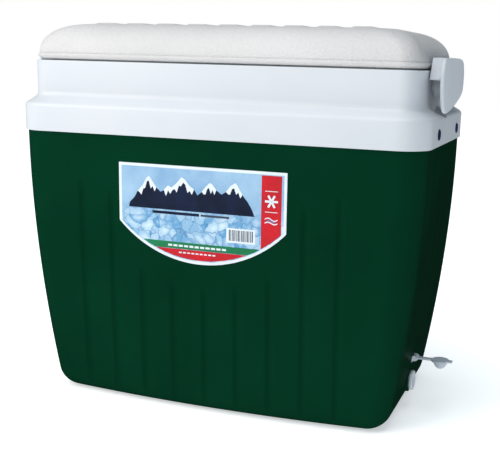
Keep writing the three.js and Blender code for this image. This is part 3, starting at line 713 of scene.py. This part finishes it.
def star(cx, cz, size, arms=6, width=0.16):
    """Bars crossing at a point: a plain snow crystal."""
    shapes = []
    for k in range(arms // 2):
        t = math.pi * k / (arms // 2)
        u, v = (math.cos(t), math.sin(t)), (-math.sin(t), math.cos(t))
        shapes.append([(cx + size * (a * u[0] + b * v[0]), cz + size * (a * u[1] + b * v[1]))
                       for a, b in ((-1, -width), (1, -width), (1, width), (-1, width))])
    return shapes


def print_shapes(name, outlines, lift, material):
    shapes = make_object(name, *merge(*(on_label(name, o, lift, material) for o in outlines)), material, False)
    place(shapes, "chest", "label")


def snow_fields(z0):
    """Snow on the ridge's upper slopes, ragged below."""
    fields = []
    for first, last in SNOW_RUNS:
        top = [(x, z0 + z + 0.4) for x, z in RIDGE[first:last + 1]]
        x0, x1, count = top[0][0], top[-1][0], 2 * (last - first)
        foot = []
        for i in range(1, count):
            x = x1 + (x0 - x1) * i / count
            ridge = float(np.interp(x, [p[0] for p in RIDGE], [p[1] for p in RIDGE]))
            foot.append((x, z0 + ridge - SNOW_DROPS[i % 5] * min(1.0, 0.35 + ridge / 60)))
        fields.append(top + foot)
    return fields


def strip_outline(x0, x1):
    """The red strip at the right, cut off below by the label's border."""
    foot = [(x1 + (x0 - x1) * i / 8, label_foot(x1 + (x0 - x1) * i / 8) + BAND_MARGIN) for i in range(9)]
    return [(x0, LABEL_TOP - 4), (x1, LABEL_TOP - 4)] + foot


def foot_band(z0, z1, margin):
    """A level band in the label's rounded foot, from z0, or from the border, up to z1."""
    def reach(z):
        return next(x for x in (LABEL_X + 0.25 * i for i in range(400)) if label_foot(x) + margin > z)

    right1 = reach(z1)
    right0 = reach(z0) if z0 else LABEL_X
    steps = 14
    lower = [right0 + (right1 - right0) * i / steps for i in range(steps + 1)]
    side = [(x, max(label_foot(x) + margin, z0 or 0)) for x in lower]
    other = [(2 * LABEL_X - x, z) for x, z in reversed(side)]
    return side + (other if z0 else other[:-1])


def wave(x0, x1, z, height, steps=16):
    """A thin double-curved stroke."""
    xs = [x0 + (x1 - x0) * i / steps for i in range(steps + 1)]
    line = [(x, z + height * math.sin(math.tau * (x - x0) / (x1 - x0))) for x in xs]
    return line + [(x, y + 1.1) for x, y in reversed(line)]


def label_border():
    """The label's pale margin: a thin frame between its edge and the same outline moved inwards."""
    edge = label_outline(0)
    inner = label_outline(BORDER_WIDTH)
    n = len(edge)
    points, faces = [], []
    for d in (0, 0.06):
        for x, z in edge + inner:
            points.append((x, -(front_face(x, z) + LABEL_LIFT + LABEL_THICK + 0.01 + d), z))
    for i in range(n):
        j = (i + 1) % n
        faces += [(2 * n + i, 2 * n + j, 3 * n + j, 3 * n + i), (i, n + i, n + j, j),
                  (i, j, 2 * n + j, 2 * n + i), (n + i, 3 * n + i, 3 * n + j, n + j)]
    return points, faces


def make_label():
    base = make_object("label_film_base", *label_base(), LABEL)
    place(base, "chest", "label", "front_label")
    place(make_object("label_border", *label_border(), INK_WHITE, False), "chest", "label")
    print_shapes("label_peaks", [mountain_range(RIDGE_FOOT)], INK_LOW, INK_NAVY)
    print_shapes("label_snow", snow_fields(RIDGE_FOOT), INK_HIGH, INK_WHITE)
    print_shapes("label_strip", [strip_outline(65.4, 87.8)], INK_LOW, INK_RED)
    print_shapes("label_green_band", [foot_band(189.2, 196.6, BAND_MARGIN)], INK_LOW, INK_GREEN)
    print_shapes("label_red_band", [foot_band(None, 188.9, BAND_MARGIN)], INK_LOW, INK_RED)
    print_shapes("label_lines_dark", [bar(-62, -6, 226.6, 229.6)], INK_LOW, INK_NAVY)
    print_shapes("label_lines_grey", [bar(-4, 29, 226.9, 229.1)], INK_LOW, INK_GREY)
    print_shapes("label_box", [bar(26, 59, 201.4, 217.2)], INK_LOW, INK_WHITE)
    stripes = [bar(29 + 1.75 * k, 29 + 1.75 * k + (1.15, 0.6, 0.9)[k % 3], 203.6, 215.4) for k in range(16)]
    print_shapes("label_stripes", stripes, INK_HIGH, INK_GREY)
    dashes = [bar(-43 + 6.4 * k, -43 + 6.4 * k + 4.8, 191.6, 193.8) for k in range(11)]
    dashes += [bar(-30 + 5 * k, -30 + 5 * k + 3.4, 184.6, 186) for k in range(9)]
    dashes += star(76.6, 249, 7.2) + [bar(69.5, 83.7, 259.4, 260.1), bar(69.5, 83.7, 237.4, 238.1)]
    dashes += [wave(69.5, 83.7, 229.5, 1.5), wave(69.5, 83.7, 225.5, 1.1)]
    print_shapes("label_marks", dashes, INK_HIGH, INK_WHITE)
    print_shapes("label_pool", [wave(71.5, 81.7, 227.5, 1.1)], INK_HIGH, INK_BLUE)


make_label()


# ---------- carried-over CAD nodes ----------
NODE_LOOKS = {
    "body_foam": FOAM, "lid_foam": FOAM, "inner_liner": LINER_WHITE, "lid_pan": LINER_WHITE,
    "pivot_pin_right": GREY, "pivot_pin_left": GREY, "drain_spout": GREY, "drain_nut": GREY,
    "strap_anchor": GREY, "drain_plug": PLUG_GREY, "drain_gasket": SEAL, "lid_seal": SEAL,
    "collar_plug_right_front": NAVY, "collar_plug_right_back": NAVY,
    "collar_plug_left_front": NAVY, "collar_plug_left_back": NAVY,
}


def dress_nodes():
    for name, material in NODE_LOOKS.items():
        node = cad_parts[name]
        node.data.materials.clear()
        node.data.materials.append(material)
        for polygon in node.data.polygons:
            polygon.material_index = 0
            polygon.use_smooth = True
        weld = node.modifiers.new("weld", "WELD")
        weld.merge_threshold = 2e-6
        sharpen(node, 32)


dress_nodes()


# ---------- floor and light ----------
def make_stage():
    s = Shader("studio_floor")
    s.set("Base Color", s.mix(s.noise(3, 2), (0.9, 0.9, 0.9), (0.93, 0.93, 0.93)))
    s.set("Roughness", 0.9)
    s.set("Specular IOR Level", 0.1)
    s.set("Emission Color", (0.96, 0.98, 1.0, 1))
    s.set("Emission Strength", 0.5)
    size = 6
    mesh = bpy.data.meshes.new("studio_floor")
    corners = [(-size, -size, 0), (size, -size, 0), (size, size, 0), (-size, size, 0)]
    mesh.from_pydata(corners, [], [(0, 1, 2, 3)])
    mesh.materials.append(s.material)
    floor = bpy.data.objects.new("studio_floor", mesh)
    bpy.context.scene.collection.objects.link(floor)
    floor.visible_glossy = False


# Strength of the sky on the object, and of what its gloss reflects.
FILL, MIRROR = 0.33, 0.03
WARM_WHITE = (1.0, 0.965, 0.92)


def make_world():
    """White behind the object, a soft bluish fill on it, and dark surroundings in reflections."""
    world = bpy.data.worlds.new("studio_world")
    world.use_nodes = True
    tree = world.node_tree
    seen = tree.nodes["Background"]
    seen.inputs["Color"].default_value = (1, 1, 1, 1)
    seen.inputs["Strength"].default_value = 1.0
    fill = tree.nodes.new("ShaderNodeBackground")
    fill.inputs["Color"].default_value = (0.68, 0.87, 1.0, 1)
    fill.inputs["Strength"].default_value = FILL
    mirror = tree.nodes.new("ShaderNodeBackground")
    mirror.inputs["Color"].default_value = (0.8, 0.9, 1.0, 1)
    mirror.inputs["Strength"].default_value = MIRROR
    path = tree.nodes.new("ShaderNodeLightPath")
    first, second = tree.nodes.new("ShaderNodeMixShader"), tree.nodes.new("ShaderNodeMixShader")
    joins = ((path.outputs["Is Glossy Ray"], first.inputs[0]),
             (fill.outputs[0], first.inputs[1]),
             (mirror.outputs[0], first.inputs[2]),
             (path.outputs["Is Camera Ray"], second.inputs[0]),
             (first.outputs[0], second.inputs[1]),
             (seen.outputs[0], second.inputs[2]),
             (second.outputs[0], tree.nodes["World Output"].inputs["Surface"]))
    for socket, target in joins:
        tree.links.new(socket, target)
    bpy.context.scene.world = world


def add_light(name, kind, direction, power, gloss):
    """A light that shines along direction; gloss scales how strongly it shows in reflections."""
    light = bpy.data.lights.new(name, kind)
    light.energy = power
    light.specular_factor = gloss
    made = bpy.data.objects.new(name, light)
    bpy.context.scene.collection.objects.link(made)
    made.rotation_mode = "QUATERNION"
    made.rotation_quaternion = Vector(direction).to_track_quat("-Z", "Y")
    return made


def make_lights():
    make_world()
    overhead = add_light("overhead", "SUN", (0.12, 0.26, -1), 1.75, 0.2)
    overhead.data.angle = math.radians(55)
    at = Vector((-0.95, -1.2, 0.95))
    aim = Vector((-0.05, -0.1, 0.25))
    key = add_light("key", "AREA", aim - at, 12.6, 0.3)
    key.location = at
    key.data.size = 0.9
    key.data.color = WARM_WHITE
    bpy.context.scene.view_settings.view_transform = "Standard"


make_stage()
make_lights()
